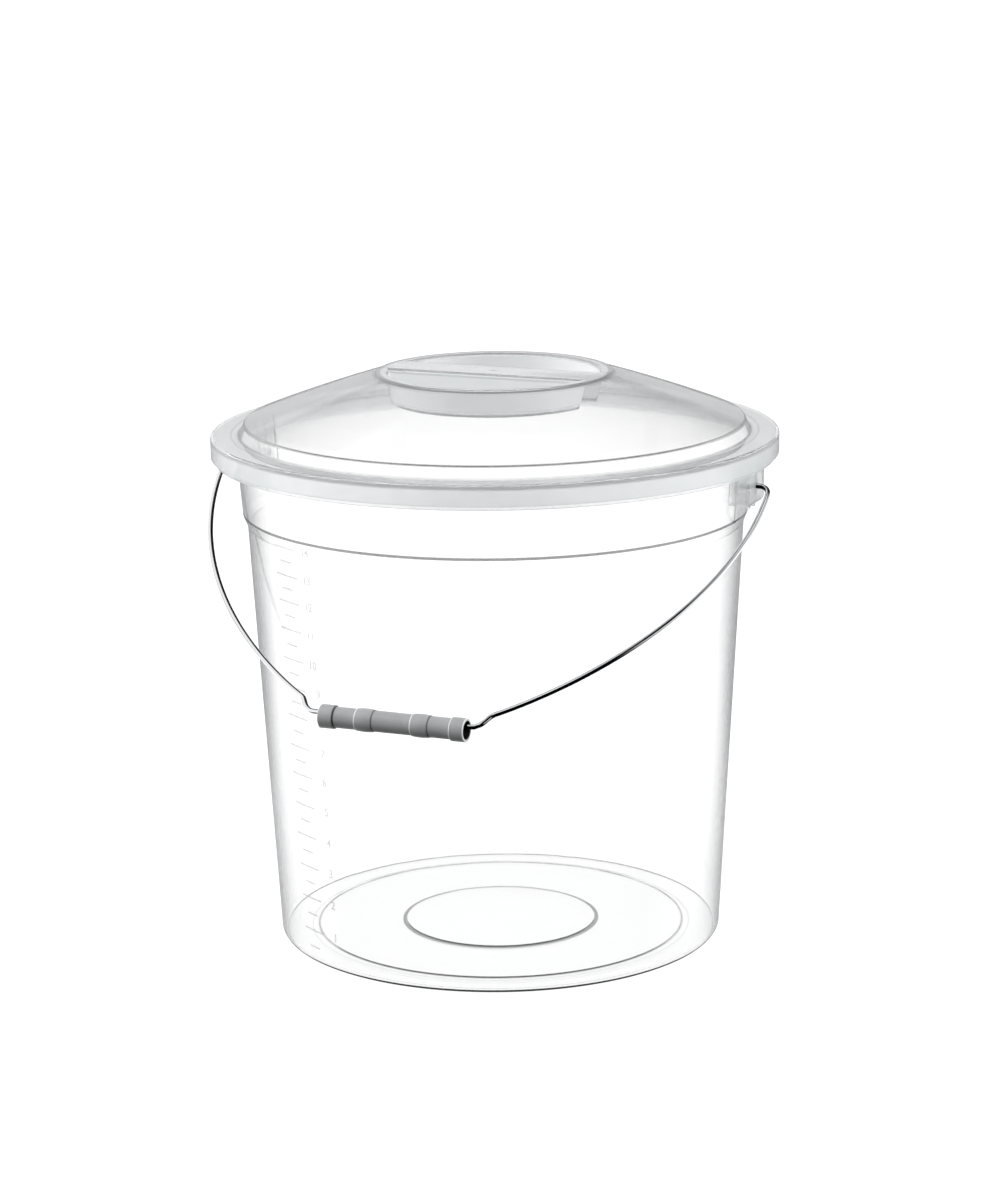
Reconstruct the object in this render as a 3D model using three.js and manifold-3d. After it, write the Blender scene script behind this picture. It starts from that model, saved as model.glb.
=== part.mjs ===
// A round clear plastic bucket with a lift-off lid, a wire bail and a hollow plastic grip.
// Lengths are millimetres. +Z is up and the origin is the middle of the base, on the floor plane.
// X runs through the two ears, and -Y is the front, where the bail hangs.
// A value whose name ends in Share has no unit: it is a share of the size that it follows.

import * as THREE from 'three';
import { mergeVertices } from 'three/addons/utils/BufferGeometryUtils.js';
import Module from 'manifold-3d';

const wasm = await Module();
wasm.setup();

// Bucket: wall and floor
const bucketHeight = 295.5;
const baseRadius = 128.9;
const wallSpreadShare = 0.0585;
const wallThickness = 1.5;
const floorThickness = 1.8;
const baseCornerRadius = 4;
const standRingWidth = 12.5;
const floorLift = 1.2;
const floorStepRun = 5.2;
const middleDiscRadius = 56.7;
const middleDiscLift = 0.8;
const middleDiscRun = 2.3;

// Bucket: wider band under the rim
const bandDrop = 49.9;
const bandStepHeight = 6.3;
const bandStepOut = 2.2;
const bandSpreadShare = 0.08;

// Bucket: turned-over rim
const rimWidth = 12.2;
const rimThickness = 1.5;
const rimCornerRadius = 1.5;
const lipThickness = 1.4;
const lipDrop = 12.5;

// Ears that carry the bail
const earLipGap = 2.4;
const earHalfWidth = 12.6;
const earDrop = 32.2;
const earCornerRadius = 4.5;
const earPlateThickness = 2.3;
const earSideThickness = 1.8;
const earWebThickness = 2.4;
const earWebInset = 4;
const earWebStepHeight = 2;
const earWebTailHeight = 10.3;
const earBossWall = 2.7;
const pinDrop = 20.9;
const pinHoleDepth = 9.6;

// Lid
const lidSideClearance = 0.5;
const lidSeatGap = 0.3;
const lidThickness = 1.4;
const skirtThickness = 1.5;
const skirtDrop = 12;
const flangeThickness = 1.5;
const flangeCornerRadius = 1.8;
const domeFootInset = 16.5;
const domeFootRun = 3;
const creaseHeight = 6.8;
const slopeCrown = 0.8;
const neckRadius = 68.3;
const crestHeight = 34.2;
const crestCornerRadius = 2.2;
const gateMarkRadius = 2.5;
const gateMarkDepth = 0.5;

// Finger wells in the top of the lid, on both sides of the grip bar
const wellRadius = 61.5;
const wellDepth = 16.1;
const wellDraft = 3.5;
const barHalfWidth = 13;
const barDraft = 1.6;
const wellCornerRadius = 3;

// Wire bail
const wireRadius = 1.5;
const pinClearance = 0.4;
const pinReach = 6.5;
const bailSideShift = 2;
const bailFlangeClearance = 2;
const bailBendRadius = 4;
const bailPassGap = 20.8;
const joggleDepth = 9.7;
const joggleRun = 11.1;
const gripRunMargin = 2;
const legReachShare = 0.565;
const bowTurnAcrossShare = 0.445;
const bowTurnReachShare = 0.895;
// Places on the joggle: how far across it and how far up it, from the end of the straight run.
const joggleShares = [[0.87, 0.88], [0.76, 0.68], [0.62, 0.42], [0.45, 0.2], [0.22, 0.04], [0, 0]];

// Hollow grip on the wire
const gripLength = 87.3;
const gripRadius = 5.6;
const collarRadius = 6.65;
const collarLength = 8.5;
const beadRadius = 6.55;
const beadLength = 12.3;
const gripMiddleLength = 21.3;
const gripBoreRadius = 3.8;
const gripRecessRadius = 5.2;
const gripRecessDepth = 5;
const gripSideShift = 1.3;
const touchGap = 0.3;
// Places on a bead: how far along it from its middle, and how far it has swelled there.
const beadShares = [[-0.5, 0], [-0.42, 0.7], [-0.25, 1], [0.25, 1], [0.42, 0.7], [0.5, 0]];

// How finely round shapes are cut
const bodySegments = 60;
const gripSegments = 20;
const bossSegments = 24;
const pinHoleSegments = 16;
const wireSides = 10;
const bowSteps = 24;
const slopeSteps = 6;
const cornerSteps = 3;
const weldTolerance = 1e-4;

// How far a cutting shape runs on past what it cuts
const overrun = 4;

// Heights and radii that several pieces share
const wallRadiusAt = (z) => baseRadius + wallSpreadShare * z;
const bandFootHeight = bucketHeight - bandDrop;
const bandHeight = bandFootHeight + bandStepHeight;
const bandRadiusAt = (z) => wallRadiusAt(bandHeight) + bandStepOut + bandSpreadShare * (z - bandHeight);
const lipBottom = bucketHeight - lipDrop;
const rimUnderside = bucketHeight - rimThickness;
const rimRadius = bandRadiusAt(rimUnderside) + rimWidth;
const lipInnerRadius = rimRadius - lipThickness;
const wallInnerRadiusAt = (z) => bandRadiusAt(z) - wallThickness;
const earFace = rimRadius - earLipGap;
const earBottom = bucketHeight - earDrop;
const pinHeight = bucketHeight - pinDrop;
const pinHoleRadius = wireRadius + pinClearance;
const floorTop = floorLift + floorThickness;
const skirtInnerRadius = rimRadius + lidSideClearance;
const skirtRadius = skirtInnerRadius + skirtThickness;
const flangeUnderside = bucketHeight + lidSeatGap;
const flangeTop = flangeUnderside + flangeThickness;
const domeFootRadius = skirtRadius - domeFootInset;
const crestTop = flangeTop + crestHeight;
const legHalfWidth = skirtRadius + wireRadius + bailFlangeClearance + bailSideShift;
const pinTip = earFace - pinReach;
const bailDepth = skirtRadius + bailPassGap;
const gripHang = gripBoreRadius - wireRadius - touchGap;
const gripRunHalf = gripLength / 2 + gripSideShift + gripRunMargin;

// The bail hangs forward until the beads of its grip rest on the wall: how far it is tilted out.
const wallLean = Math.atan(wallSpreadShare);
const gripReach = wallRadiusAt(pinHeight - gripHang) * Math.cos(wallLean) + beadRadius + touchGap;
const bailTilt = Math.asin(gripReach / bailDepth) - wallLean;

function point(x, y) {
  return new THREE.Vector2(x, y);
}

// Points of a round corner from one angle to another, in degrees from +X, both ends included.
function arc(centreX, centreY, radius, fromDegrees, toDegrees, steps) {
  const points = [];
  for (let i = 0; i <= steps; i += 1) {
    const angle = THREE.MathUtils.degToRad(fromDegrees + ((toDegrees - fromDegrees) * i) / steps);
    points.push(point(centreX + radius * Math.cos(angle), centreY + radius * Math.sin(angle)));
  }
  return points;
}

function solidOf(geometry) {
  const bare = geometry.index ? geometry.toNonIndexed() : geometry.clone();
  bare.deleteAttribute('normal');
  bare.deleteAttribute('uv');
  const welded = mergeVertices(bare, weldTolerance);
  const corners = welded.index.array;
  const kept = [];
  for (let i = 0; i < corners.length; i += 3) {
    const [a, b, c] = [corners[i], corners[i + 1], corners[i + 2]];
    if (a !== b && b !== c && c !== a) kept.push(a, b, c);
  }
  const vertProperties = new Float32Array(welded.attributes.position.array);
  const triVerts = new Uint32Array(kept);
  return new wasm.Manifold(new wasm.Mesh({ numProp: 3, vertProperties, triVerts }));
}

function geometryOf(solid) {
  const { vertProperties, triVerts } = solid.getMesh();
  const geometry = new THREE.BufferGeometry();
  geometry.setAttribute('position', new THREE.BufferAttribute(vertProperties, 3));
  geometry.setIndex(new THREE.BufferAttribute(triVerts, 1));
  geometry.computeVertexNormals();
  return geometry;
}

// A body turned about +Z from a profile of radius and height that runs anticlockwise.
function turned(profile, segments = bodySegments) {
  const geometry = new THREE.LatheGeometry(profile, segments);
  geometry.rotateX(Math.PI / 2);
  return solidOf(geometry);
}

// A flat outline in Y and Z, drawn out along X from one place to another.
function alongX(outline, fromX, toX) {
  const depth = toX - fromX;
  const geometry = new THREE.ExtrudeGeometry(new THREE.Shape(outline), { depth, bevelEnabled: false });
  geometry.rotateX(Math.PI / 2);
  geometry.rotateZ(Math.PI / 2);
  geometry.translate(fromX, 0, 0);
  return solidOf(geometry);
}

// A flat outline in X and Z, drawn out along Y and centred on the X axis.
function acrossY(outline, width) {
  const shape = new THREE.Shape(outline);
  const geometry = new THREE.ExtrudeGeometry(shape, { depth: width, bevelEnabled: false });
  geometry.rotateX(Math.PI / 2);
  geometry.translate(0, width / 2, 0);
  return solidOf(geometry);
}

function box(fromX, toX, halfWidth, fromZ, toZ) {
  const geometry = new THREE.BoxGeometry(toX - fromX, 2 * halfWidth, toZ - fromZ);
  geometry.translate((fromX + toX) / 2, 0, (fromZ + toZ) / 2);
  return solidOf(geometry);
}

function rodAlongZ(fromZ, toZ, radius, segments) {
  const geometry = new THREE.CylinderGeometry(radius, radius, toZ - fromZ, segments);
  geometry.rotateX(Math.PI / 2);
  geometry.translate(0, 0, (fromZ + toZ) / 2);
  return solidOf(geometry);
}

function rodAlongX(fromX, toX, radius, height, segments) {
  const geometry = new THREE.CylinderGeometry(radius, radius, toX - fromX, segments);
  geometry.rotateZ(Math.PI / 2);
  geometry.translate((fromX + toX) / 2, 0, height);
  return solidOf(geometry);
}

// Outside of the bucket: floor, wall, wider band, turned-over rim and its lip, closed across the top.
function bucketOuter() {
  const ringOuter = wallRadiusAt(baseCornerRadius) - baseCornerRadius;
  const ringInner = ringOuter - standRingWidth;
  const discEdge = middleDiscRadius - middleDiscRun / 2;
  const round = rimCornerRadius;
  return turned([
    point(0, floorLift + middleDiscLift),
    point(discEdge, floorLift + middleDiscLift),
    point(discEdge + middleDiscRun, floorLift),
    point(ringInner - floorStepRun, floorLift),
    point(ringInner, 0),
    ...arc(ringOuter, baseCornerRadius, baseCornerRadius, -90, 0, cornerSteps),
    point(wallRadiusAt(bandFootHeight), bandFootHeight),
    point(wallRadiusAt(bandFootHeight) + bandStepOut / 2, bandFootHeight + bandStepHeight / 2),
    point(bandRadiusAt(bandHeight), bandHeight),
    point(bandRadiusAt(rimUnderside), rimUnderside),
    point(lipInnerRadius, rimUnderside),
    point(lipInnerRadius, lipBottom),
    point(rimRadius, lipBottom),
    ...arc(rimRadius - round, bucketHeight - round, round, 0, 90, cornerSteps),
    point(0, bucketHeight),
  ]);
}

// The hollow of the bucket, run on past the rim so that it cuts the top open.
function bucketHollow() {
  const wall = wallThickness;
  const floorRadius = wallRadiusAt(floorTop) - wall - baseCornerRadius / 2;
  const ringInner = wallRadiusAt(baseCornerRadius) - baseCornerRadius - standRingWidth;
  const discEdge = middleDiscRadius - middleDiscRun / 2;
  const top = bucketHeight + overrun;
  return turned([
    point(0, floorTop + middleDiscLift),
    point(discEdge, floorTop + middleDiscLift),
    point(discEdge + middleDiscRun, floorTop),
    point(ringInner - floorStepRun, floorTop),
    point(ringInner, floorThickness),
    point(floorRadius, floorThickness),
    ...arc(floorRadius, floorThickness + baseCornerRadius / 2, baseCornerRadius / 2, -45, 0, 2),
    point(wallRadiusAt(bandFootHeight) - wall, bandFootHeight),
    point(wallRadiusAt(bandFootHeight) + bandStepOut / 2 - wall, bandFootHeight + bandStepHeight / 2),
    point(bandRadiusAt(bandHeight) - wall, bandHeight),
    point(wallInnerRadiusAt(rimUnderside), rimUnderside),
    point(wallInnerRadiusAt(rimUnderside), top),
    point(0, top),
  ]);
}

// One ear on the +X side: a plate and two cheeks in the rim channel, a middle web and a drilled boss.
function ear() {
  const root = wallRadiusAt(0);
  const top = rimUnderside + rimThickness / 2;
  const round = earCornerRadius;
  const shell = alongX([
    point(earHalfWidth, top),
    point(-earHalfWidth, top),
    ...arc(-earHalfWidth + round, earBottom + round, round, 180, 270, cornerSteps),
    ...arc(earHalfWidth - round, earBottom + round, round, 270, 360, cornerSteps),
  ], root, earFace);
  const plateBack = earFace - earPlateThickness;
  const pocketHalf = earHalfWidth - earSideThickness;
  const pocket = box(root - overrun, plateBack, pocketHalf, earBottom - overrun, rimUnderside);
  const plateMiddle = earFace - earPlateThickness / 2;
  const webTip = earFace - earWebInset;
  const webTail = earBottom - earWebStepHeight - earWebTailHeight;
  const web = acrossY([
    point(root, webTail),
    point(wallRadiusAt(webTail), webTail),
    point(webTip, earBottom - earWebStepHeight),
    point(webTip, earBottom),
    point(plateMiddle, earBottom),
    point(plateMiddle, top),
    point(root, top),
  ], earWebThickness);
  const bossRadius = pinHoleRadius + earBossWall;
  const holeEnd = earFace - pinHoleDepth;
  const boss = rodAlongX(root, plateMiddle, bossRadius, pinHeight, bossSegments);
  const hole = rodAlongX(holeEnd, earFace + overrun, pinHoleRadius, pinHeight, pinHoleSegments);
  return shell.subtract(pocket).add(web).add(boss).subtract(hole);
}

function makeBucket() {
  const right = ear();
  const left = right.rotate([0, 0, 180]);
  return geometryOf(bucketOuter().add(right).add(left).subtract(bucketHollow()));
}

// Corners of an outline moved inward by a wall, each along the mitre of its two sides.
function inset(outline, wall) {
  return outline.map((corner, i) => {
    const before = outline[Math.max(i - 1, 0)];
    const after = outline[Math.min(i + 1, outline.length - 1)];
    const into = i > 0 ? corner.clone().sub(before).normalize() : after.clone().sub(corner).normalize();
    const out = i < outline.length - 1 ? after.clone().sub(corner).normalize() : into;
    const mitre = point(-into.y - out.y, into.x + out.x).divideScalar(1 + into.dot(out));
    return corner.clone().add(mitre.multiplyScalar(wall));
  });
}

// The dome, from its foot on the flange over the crease and up the crowned slope to the crest.
function domeOutline() {
  const crease = point(domeFootRadius - domeFootRun, flangeTop + creaseHeight);
  const neck = point(neckRadius, crestTop - crestCornerRadius);
  const upSlope = neck.clone().sub(crease).normalize();
  const crown = point(upSlope.y, -upSlope.x).multiplyScalar(2 * slopeCrown);
  const middle = neck.clone().add(crease).multiplyScalar(1 / 2).add(crown);
  const slope = new THREE.QuadraticBezierCurve(crease, middle, neck).getPoints(slopeSteps);
  const round = crestCornerRadius;
  return [
    point(domeFootRadius, flangeTop),
    ...slope.slice(0, -1),
    ...arc(neckRadius - round, crestTop - round, round, 0, 90, cornerSteps),
    point(0, crestTop),
  ];
}

function lidOuter() {
  const skirtBottom = flangeTop - skirtDrop;
  const round = flangeCornerRadius;
  return turned([
    point(0, skirtBottom),
    point(skirtRadius, skirtBottom),
    ...arc(skirtRadius - round, flangeTop - round, round, 0, 90, cornerSteps),
    ...domeOutline(),
  ]);
}

function lidHollow() {
  const dome = inset(domeOutline(), lidThickness);
  const bottom = flangeTop - skirtDrop - overrun;
  return turned([
    point(0, bottom),
    point(skirtInnerRadius, bottom),
    point(skirtInnerRadius, flangeUnderside),
    point(dome[0].x, flangeUnderside),
    ...dome,
  ]);
}

// The D-shaped finger well behind the bar, or that well grown by the lid's wall on every side.
function fingerWell(grow) {
  const low = crestTop - wellDepth - grow;
  const high = crestTop + overrun;
  const draftTo = (z) => (crestTop - z) / wellDepth;
  const wallAt = (z) => wellRadius + grow - wellDraft * draftTo(z);
  const barAt = (z) => barHalfWidth - grow + barDraft * draftTo(z);
  const round = wellCornerRadius;
  const bowl = turned([
    point(0, low),
    ...arc(wallAt(low + round) - round, low + round, round, -90, 0, cornerSteps),
    point(wallAt(high), high),
    point(0, high),
  ]);
  const behindBar = alongX([
    point(barAt(low - overrun), low - overrun),
    point(wellRadius + overrun, low - overrun),
    point(wellRadius + overrun, high + overrun),
    point(barAt(high + overrun), high + overrun),
  ], -wellRadius - overrun, wellRadius + overrun);
  return bowl.intersect(behindBar);
}

function makeLid() {
  const wells = (grow) => fingerWell(grow).add(fingerWell(grow).rotate([0, 0, 180]));
  const gateMark = rodAlongZ(crestTop - gateMarkDepth, crestTop + overrun, gateMarkRadius, gripSegments);
  const shell = lidOuter().subtract(wells(0)).subtract(gateMark);
  return geometryOf(shell.subtract(lidHollow().subtract(wells(lidThickness))));
}

// A path that a sweep follows ring by ring, with each ring square to the mitre of its two stretches.
class RingPath extends THREE.Curve {
  constructor(places) {
    super();
    this.places = places;
  }

  getPoint(t) {
    const last = this.places.length - 1;
    const from = Math.min(Math.floor(t * last), last - 1);
    return this.places[from].clone().lerp(this.places[from + 1], t * last - from);
  }

  getPointAt(t) {
    return this.getPoint(t);
  }

  getTangentAt(t) {
    const last = this.places.length - 1;
    const here = Math.round(t * last);
    const into = this.places[Math.max(here, 1)].clone().sub(this.places[Math.max(here, 1) - 1]).normalize();
    const next = Math.min(here, last - 1);
    const out = this.places[next + 1].clone().sub(this.places[next]).normalize();
    return into.add(out).normalize();
  }
}

// Half of the wire's centre line, from the tip of its pin to the end of its straight run in the grip.
// Distances are across the bucket and away from the pin axis.
function halfWire() {
  const bend = bailBendRadius;
  const bowEnd = point(gripRunHalf + joggleRun, bailDepth - joggleDepth);
  const bow = new THREE.CubicBezierCurve(
    point(legHalfWidth, bend),
    point(legHalfWidth, bailDepth * legReachShare),
    point(legHalfWidth * bowTurnAcrossShare, bailDepth * bowTurnReachShare),
    bowEnd,
  );
  const joggle = joggleShares.map(([acrossShare, riseShare]) => (
    point(gripRunHalf + joggleRun * acrossShare, bailDepth - joggleDepth * riseShare)
  ));
  return [
    point(pinTip, 0),
    ...arc(legHalfWidth - bend, bend, bend, -90, 0, cornerSteps),
    ...bow.getPoints(bowSteps).slice(1),
    ...joggle,
  ];
}

function makeBail() {
  const half = halfWire();
  const right = half.map((place) => new THREE.Vector3(place.x, 0, -place.y));
  const left = half.map((place) => new THREE.Vector3(-place.x, 0, -place.y));
  const path = new RingPath([...right, ...left.reverse()]);
  const section = new THREE.Shape(arc(0, 0, wireRadius, 0, 360, wireSides).slice(1));
  const steps = path.places.length - 1;
  return geometryOf(solidOf(new THREE.ExtrudeGeometry(section, { steps, extrudePath: path })));
}

// Outside of the grip along its axis, from its middle to one end: tube, bead, tube, collar.
function halfGrip() {
  const end = gripLength / 2;
  const beadMiddle = gripMiddleLength / 2 + beadLength / 2;
  const swell = beadRadius - gripRadius;
  const bead = beadShares.map(([alongShare, swellShare]) => (
    point(gripRadius + swell * swellShare, beadMiddle + beadLength * alongShare)
  ));
  const round = collarRadius - gripRadius;
  return [
    ...bead,
    point(gripRadius, end - collarLength),
    point(collarRadius - round / 2, end - collarLength),
    point(collarRadius, end - collarLength + round / 2),
    point(collarRadius, end - round / 2),
    point(collarRadius - round / 2, end),
    point(gripRecessRadius, end),
    point(gripRecessRadius, end - gripRecessDepth),
    point(gripBoreRadius, end - gripRecessDepth),
  ];
}

function makeGrip() {
  const upper = halfGrip();
  const lower = upper.map((place) => point(place.x, -place.y)).reverse();
  return geometryOf(turned([...lower, ...upper, lower[0]], gripSegments).rotate([0, 90, 0]));
}

function clearPlastic() {
  return new THREE.MeshStandardMaterial({
    color: 0xf2f4f4,
    roughness: 0.15,
    metalness: 0,
    transparent: true,
    opacity: 0.35,
  });
}

const bucket = new THREE.Mesh(makeBucket(), clearPlastic());
bucket.name = 'bucket';

const lid = new THREE.Mesh(makeLid(), clearPlastic());
lid.name = 'lid';

// Zinc-bright steel wire.
const bail = new THREE.Mesh(
  makeBail(),
  new THREE.MeshStandardMaterial({ color: 0xb8babc, roughness: 0.25, metalness: 1 }),
);
bail.name = 'bail';

// Light grey plastic with a matt skin.
const grip = new THREE.Mesh(
  makeGrip(),
  new THREE.MeshStandardMaterial({ color: 0xa9aaab, roughness: 0.6, metalness: 0 }),
);
grip.name = 'grip';

// The grip hangs on the wire, so its axis lies straight below the wire's while the bail is tilted out.
grip.position.set(gripSideShift, gripHang * Math.sin(bailTilt), -bailDepth - gripHang * Math.cos(bailTilt));

const hangingBail = new THREE.Group();
hangingBail.add(bail, grip);
hangingBail.position.set(-bailSideShift, 0, pinHeight);
hangingBail.rotation.x = -bailTilt;

const wholeBucket = new THREE.Group();
wholeBucket.add(bucket, lid, hangingBail);

export default wholeBucket;
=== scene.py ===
# A round clear plastic bucket with a lift-off lid, a wire bail and a hollow grip.
# Sizes are millimetres until they meet a call, where MM turns them to metres.
# Frame: +Z up, the middle of the base at the origin, X through the ears, -Y the front.

import math

import bpy
from mathutils import Matrix, Vector


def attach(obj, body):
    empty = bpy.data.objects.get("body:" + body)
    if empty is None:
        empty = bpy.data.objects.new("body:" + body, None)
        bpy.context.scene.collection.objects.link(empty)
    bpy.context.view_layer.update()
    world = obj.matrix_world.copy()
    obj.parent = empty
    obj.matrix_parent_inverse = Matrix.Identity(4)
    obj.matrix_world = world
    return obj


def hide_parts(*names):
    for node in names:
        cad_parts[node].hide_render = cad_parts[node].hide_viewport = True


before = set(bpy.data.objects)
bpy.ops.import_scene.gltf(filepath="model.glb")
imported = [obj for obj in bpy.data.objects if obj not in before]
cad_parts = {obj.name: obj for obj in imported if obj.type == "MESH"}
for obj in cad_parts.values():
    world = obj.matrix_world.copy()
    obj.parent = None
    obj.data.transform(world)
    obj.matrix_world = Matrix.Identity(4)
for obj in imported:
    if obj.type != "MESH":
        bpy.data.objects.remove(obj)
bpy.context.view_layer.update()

MM = 0.001

# Bucket: wall and floor
BUCKET_HEIGHT = 295.5
BASE_RADIUS = 128.9
WALL_SPREAD = 0.0585
WALL = 1.5
FLOOR = 1.8
BASE_CORNER = 4
STAND_RING = 12.5
FLOOR_LIFT = 1.2
FLOOR_STEP_RUN = 5.2
DISC_RADIUS = 56.7
DISC_LIFT = 0.8
DISC_RUN = 2.3
FLOOR_CORNER = 0.4

# Bucket: wider band, turned-over rim and its lip
BAND_DROP = 49.9
BAND_STEP_HEIGHT = 6.3
BAND_STEP_OUT = 2.2
BAND_SPREAD = 0.08
BAND_CORNER = 0.9
RIM_WIDTH = 12.2
RIM_WALL = 1.5
RIM_CORNER = 1.5
LIP_WALL = 1.4
LIP_DROP = 12.5
CHANNEL_ROOT_CORNER = 1
CHANNEL_CORNER = 0.6
EDGE_ROUND = 0.45

# Ears that carry the bail
EAR_LIP_GAP = 2.4
EAR_HALF_WIDTH = 12.6
EAR_DROP = 32.2
EAR_CORNER = 4.5
EAR_PLATE = 2.3
EAR_CHEEK = 1.8
EAR_WEB = 2.4
EAR_WEB_INSET = 4
EAR_WEB_STEP = 2
EAR_WEB_TAIL = 10.3
EAR_BOSS_WALL = 2.7
UPPER_WEB_INSET = 0.02
UPPER_WEB_DROP = 0.1
PIN_DROP = 20.9
PIN_HOLE_DEPTH = 9.6

# Litre scale: heights of the whole litres, ticks and figures, and angles round from the front to -X
LITRE_HEIGHTS = [20.4, 40.2, 59.1, 77.7, 96, 113.8, 130.4, 148.3, 165.3, 181.8, 199.2, 215.5, 230.7, 247]
SCALE_GAP = 0.03
SCALE_RELIEF = 0.16
TICK_LINE = 0.95
TICK_MIDDLE = 32.3
LONG_TICK_HALF = 4.2
SHORT_TICK_HALF = 2.2
FIGURE_SIZE = 6.8
FIGURE_BOLDNESS = 0.1
FIGURE_LEFT_TWO = 26
FIGURE_LEFT_ONE = 24

# Lid
LID_SIDE_CLEARANCE = 0.5
LID_SEAT_GAP = 0.3
LID_WALL = 1.4
SKIRT_WALL = 1.5
SKIRT_DROP = 12
FLANGE_WALL = 1.5
FLANGE_CORNER = 1.8
SKIRT_CORNER = 0.6
DOME_FOOT_INSET = 16.5
DOME_FOOT_RUN = 3
DOME_FOOT_ROUND = 0.8
FOOT_OVERLAP = 1
CREASE_HEIGHT = 6.8
CREASE_ROUND = 2.2
SLOPE_CROWN = 0.8
NECK_RADIUS = 68.3
NECK_INSET = 0.35
CREST_HEIGHT = 34.2
CREST_CORNER = 0.9
CREST_ROUND_SHARE = 0.8
GATE_RADIUS = 2.5
GATE_DEPTH = 0.5

# Finger wells in the top of the lid, on both sides of the grip bar
WELL_RADIUS = 61.5
WELL_DEPTH = 16.1
WELL_DRAFT = 3.5
BAR_HALF_WIDTH = 13
BAR_DRAFT = 1.6
WELL_CORNER = 3
WELL_LIP_ROUND = 0.5
MOUTH_DEPTH = 2.5

# Wire bail
WIRE_RADIUS = 1.5
PIN_CLEARANCE = 0.4
PIN_REACH = 6.5
BAIL_SIDE_SHIFT = 2
BAIL_FLANGE_CLEARANCE = 2
BAIL_BEND = 6
BAIL_PASS_GAP = 20.8
JOGGLE_DEPTH = 9.7
JOGGLE_RUN = 11.1
GRIP_RUN_MARGIN = 2
LEG_REACH = 0.565
BOW_TURN_ACROSS = 0.445
BOW_TURN_REACH = 0.895
JOGGLE_SHARES = [(0.87, 0.88), (0.76, 0.68), (0.62, 0.42), (0.45, 0.2), (0.22, 0.04), (0, 0)]

# Hollow grip on the wire, with a collar at each end and a bead on each side of the middle
GRIP_LENGTH = 87.3
GRIP_RADIUS = 5.9
COLLAR_RADIUS = 6.65
COLLAR_LENGTH = 8.5
BEAD_RADIUS = 6.55
BEAD_LENGTH = 10.2
BEAD_FOOT = 0.32
BEAD_EDGE = 0.08
COLLAR_FOOT_EDGE = 0.2
COLLAR_EDGE = 0.3
GRIP_END_EDGE = 0.35
GRIP_MIDDLE = 23.4
GRIP_BORE = 3.8
GRIP_RECESS_RADIUS = 5.2
GRIP_RECESS_DEPTH = 5
GRIP_SIDE_SHIFT = 1.3
TOUCH_GAP = 0.3

# How finely round shapes are drawn, how far cuts run on, and what counts as one place or a sharp edge
ROUND_STEPS = 256
GRIP_STEPS = 96
ROD_SIDES = 48
ARC_STEP = math.radians(12)
TICK_STEPS = 8
EAR_CORNER_STEPS = 8
WELL_CORNER_STEPS = 6
SLOPE_STEPS = 10
BEND_STEPS = 8
BOW_STEPS = 60
BEAD_STEPS = 14
WIRE_ROUNDNESS = 6
OVERRUN = 4
NEAR = 0.01
MERGE_GAP = 0.005
CUT_MERGE_GAP = 0.02
SHARP = math.radians(20)

# Heights and radii that several pieces share
BAND_FOOT = BUCKET_HEIGHT - BAND_DROP
BAND_TOP = BAND_FOOT + BAND_STEP_HEIGHT
RIM_UNDERSIDE = BUCKET_HEIGHT - RIM_WALL
LIP_BOTTOM = BUCKET_HEIGHT - LIP_DROP
EAR_BOTTOM = BUCKET_HEIGHT - EAR_DROP
PIN_HEIGHT = BUCKET_HEIGHT - PIN_DROP


def wall_radius(height):
    return BASE_RADIUS + WALL_SPREAD * height


def band_radius(height):
    return wall_radius(BAND_TOP) + BAND_STEP_OUT + BAND_SPREAD * (height - BAND_TOP)


RING_OUTER = wall_radius(BASE_CORNER)
RING_INNER = RING_OUTER - BASE_CORNER - STAND_RING
RIM_RADIUS = band_radius(RIM_UNDERSIDE) + RIM_WIDTH
LIP_INNER = RIM_RADIUS - LIP_WALL
RIM_INNER = band_radius(RIM_UNDERSIDE) - WALL
EAR_FACE = RIM_RADIUS - EAR_LIP_GAP
SKIRT_INNER = RIM_RADIUS + LID_SIDE_CLEARANCE
SKIRT_RADIUS = SKIRT_INNER + SKIRT_WALL
FLANGE_UNDERSIDE = BUCKET_HEIGHT + LID_SEAT_GAP
FLANGE_TOP = FLANGE_UNDERSIDE + FLANGE_WALL
CREST_TOP = FLANGE_TOP + CREST_HEIGHT
DOME_FOOT = SKIRT_RADIUS - DOME_FOOT_INSET
CREASE_RADIUS = DOME_FOOT - DOME_FOOT_RUN
LEG_HALF_WIDTH = SKIRT_RADIUS + WIRE_RADIUS + BAIL_FLANGE_CLEARANCE + BAIL_SIDE_SHIFT
PIN_TIP = EAR_FACE - PIN_REACH
PIN_HOLE = WIRE_RADIUS + PIN_CLEARANCE
BAIL_DEPTH = SKIRT_RADIUS + BAIL_PASS_GAP
GRIP_HANG = GRIP_BORE - WIRE_RADIUS - TOUCH_GAP
GRIP_RUN_HALF = GRIP_LENGTH / 2 + GRIP_SIDE_SHIFT + GRIP_RUN_MARGIN
WALL_LEAN = math.atan(WALL_SPREAD)
GRIP_REACH = wall_radius(PIN_HEIGHT - GRIP_HANG) * math.cos(WALL_LEAN) + BEAD_RADIUS + TOUCH_GAP
BAIL_TILT = math.asin(GRIP_REACH / BAIL_DEPTH) - WALL_LEAN

# Camera: found from the ellipses of the base, step, rim and lid in the photograph
CAMERA_ROUND = math.radians(23)
CAMERA_DISTANCE = 2038
CAMERA_HEIGHT = 679.8
CAMERA_PITCH = math.radians(13.354)
CAMERA_YAW = math.radians(0.052)
CAMERA_ROLL = math.radians(-0.696)
CAMERA_LENS = 107.97
CAMERA_SENSOR = 36

# Paper floor just below the base, and the place in metres that the lamps face
FLOOR_GAP = 0.2
FLOOR_RADIUS = 14000
FLOOR_SIDES = 96
LAMP_AIM = (0, 0, 0.2)


# Outlines

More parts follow.
